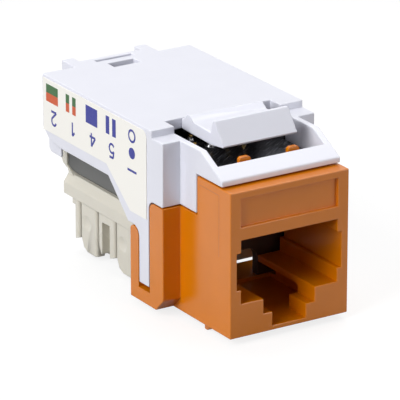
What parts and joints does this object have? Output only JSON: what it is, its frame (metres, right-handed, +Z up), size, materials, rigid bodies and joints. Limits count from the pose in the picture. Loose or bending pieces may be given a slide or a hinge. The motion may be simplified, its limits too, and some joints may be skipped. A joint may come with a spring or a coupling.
{
  "type": "modular network jack",
  "caption": "Snap-in modular network jack: stepped orange nose with a plug port, white cover with a spring latch, and a terminal block of wire-cutting towers.",
  "frame": {"origin": "middle of the lower edge of the nose's front face", "axes": "+X across the jack, to the right seen from the front; +Y from the nose back to the terminal block; +Z up, from the fixed lip to the spring latch"},
  "size_m": [0.0189, 0.0371, 0.0218],
  "materials": {
    "orange_plastic": "satin",
    "white_plastic": "satin",
    "board_mask": "gloss",
    "carrier_plastic": "satin",
    "contact_gold": "gold plated",
    "grey_plastic": "satin",
    "beige_plastic": "satin",
    "blade_tin": "tin plated",
    "label_film": "matt film"
  },
  "bodies": {
    "jack": {"front_housing": "orange_plastic", "rear_cover": "white_plastic", "circuit_board": "board_mask", "contact_carrier": "carrier_plastic", "contact_lead_1": "contact_gold", "contact_lead_2": "contact_gold", "contact_lead_3": "contact_gold", "contact_lead_4": "contact_gold", "contact_lead_5": "contact_gold", "contact_lead_6": "contact_gold", "contact_lead_7": "contact_gold", "contact_lead_8": "contact_gold", "idc_base": "grey_plastic", "idc_block": "beige_plastic", "idc_blade_1": "blade_tin", "idc_blade_2": "blade_tin", "idc_blade_3": "blade_tin", "idc_blade_4": "blade_tin", "idc_blade_5": "blade_tin", "idc_blade_6": "blade_tin", "idc_blade_7": "blade_tin", "idc_blade_8": "blade_tin", "side_label": "label_film"},
    "latch": {"latch_lever": "white_plastic"},
    "contact_1": {"plug_contact_1": "contact_gold"},
    "contact_2": {"plug_contact_2": "contact_gold"},
    "contact_3": {"plug_contact_3": "contact_gold"},
    "contact_4": {"plug_contact_4": "contact_gold"},
    "contact_5": {"plug_contact_5": "contact_gold"},
    "contact_6": {"plug_contact_6": "contact_gold"},
    "contact_7": {"plug_contact_7": "contact_gold"},
    "contact_8": {"plug_contact_8": "contact_gold"}
  },
  "joints": [
    {"name": "latch_flex", "type": "hinge", "parent": "jack", "child": "latch", "pos_m": [0, 0.01382, 0.01837], "axis": [1, 0, 0], "range_deg": [0, 12], "stiffness_Nm_per_rad": 0.1},
    {"name": "contact_flex_1", "type": "hinge", "parent": "jack", "child": "contact_1", "pos_m": [-0.00356, 0.003, 0.0121], "axis": [1, 0, 0], "range_deg": [0, 10], "stiffness_Nm_per_rad": 0.02},
    {"name": "contact_flex_2", "type": "hinge", "parent": "jack", "child": "contact_2", "pos_m": [-0.00254, 0.003, 0.0121], "axis": [1, 0, 0], "range_deg": [0, 10], "stiffness_Nm_per_rad": 0.02},
    {"name": "contact_flex_3", "type": "hinge", "parent": "jack", "child": "contact_3", "pos_m": [-0.00152, 0.003, 0.0121], "axis": [1, 0, 0], "range_deg": [0, 10], "stiffness_Nm_per_rad": 0.02},
    {"name": "contact_flex_4", "type": "hinge", "parent": "jack", "child": "contact_4", "pos_m": [-0.00051, 0.003, 0.0121], "axis": [1, 0, 0], "range_deg": [0, 10], "stiffness_Nm_per_rad": 0.02},
    {"name": "contact_flex_5", "type": "hinge", "parent": "jack", "child": "contact_5", "pos_m": [0.00051, 0.003, 0.0121], "axis": [1, 0, 0], "range_deg": [0, 10], "stiffness_Nm_per_rad": 0.02},
    {"name": "contact_flex_6", "type": "hinge", "parent": "jack", "child": "contact_6", "pos_m": [0.00152, 0.003, 0.0121], "axis": [1, 0, 0], "range_deg": [0, 10], "stiffness_Nm_per_rad": 0.02},
    {"name": "contact_flex_7", "type": "hinge", "parent": "jack", "child": "contact_7", "pos_m": [0.00254, 0.003, 0.0121], "axis": [1, 0, 0], "range_deg": [0, 10], "stiffness_Nm_per_rad": 0.02},
    {"name": "contact_flex_8", "type": "hinge", "parent": "jack", "child": "contact_8", "pos_m": [0.00356, 0.003, 0.0121], "axis": [1, 0, 0], "range_deg": [0, 10], "stiffness_Nm_per_rad": 0.02}
  ],
  "couplings": [
    {"joint": "contact_flex_2", "follows": "contact_flex_1", "ratio": 1},
    {"joint": "contact_flex_3", "follows": "contact_flex_1", "ratio": 1},
    {"joint": "contact_flex_4", "follows": "contact_flex_1", "ratio": 1},
    {"joint": "contact_flex_5", "follows": "contact_flex_1", "ratio": 1},
    {"joint": "contact_flex_6", "follows": "contact_flex_1", "ratio": 1},
    {"joint": "contact_flex_7", "follows": "contact_flex_1", "ratio": 1},
    {"joint": "contact_flex_8", "follows": "contact_flex_1", "ratio": 1}
  ]
}
